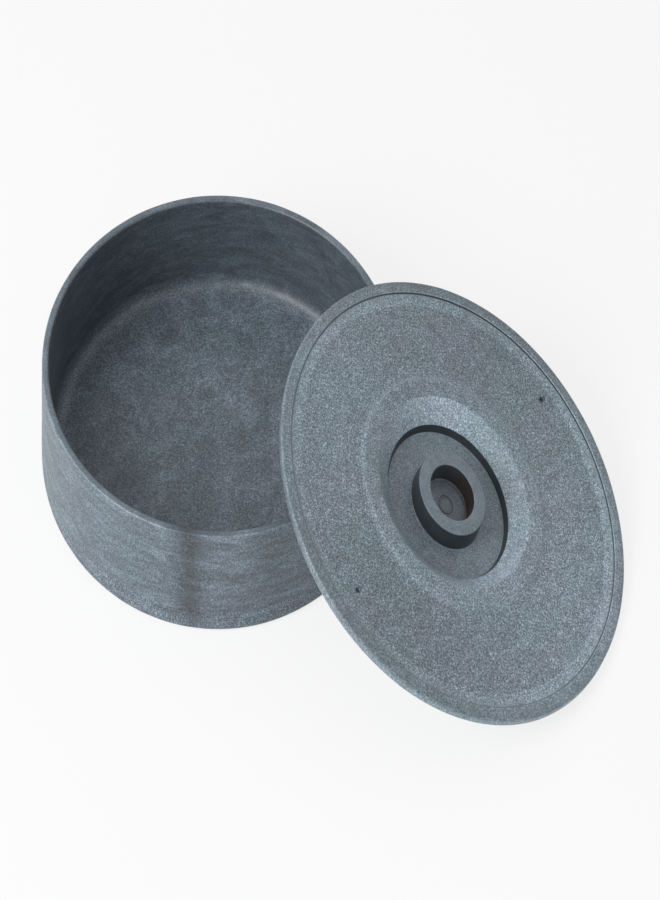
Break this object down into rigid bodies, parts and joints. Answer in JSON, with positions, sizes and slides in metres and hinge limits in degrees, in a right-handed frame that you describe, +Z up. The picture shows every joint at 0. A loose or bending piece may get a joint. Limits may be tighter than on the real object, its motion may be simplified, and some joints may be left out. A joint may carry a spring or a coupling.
{
  "type": "tortilla warmer",
  "caption": "Round straight-sided tortilla warmer bowl with its flat lift-off lid leaning on the rim; the lid has a sunk well with a grip ring.",
  "frame": {"origin": "centre of the bowl's base, on the surface that it stands on", "axes": "+Z is up along the bowl's axis, -Y is the front, and the lid leans to the right and a little to the front, towards +X turned by -17.6 degrees"},
  "size_m": [0.3462, 0.2662, 0.086],
  "materials": {
    "bowl_plastic": "satin moulded polypropylene foam, blue-grey with pale flow marks",
    "lid_plastic": "satin moulded polypropylene foam, blue-grey with a fine granite speckle"
  },
  "bodies": {
    "bowl": {"bowl": "bowl_plastic"},
    "lid": {"lid": "lid_plastic"}
  },
  "joints": [
    {"name": "lid_lift", "type": "slide", "parent": "bowl", "child": "lid", "axis": [0, 0, 1], "range_m": [0, 0.12]}
  ]
}
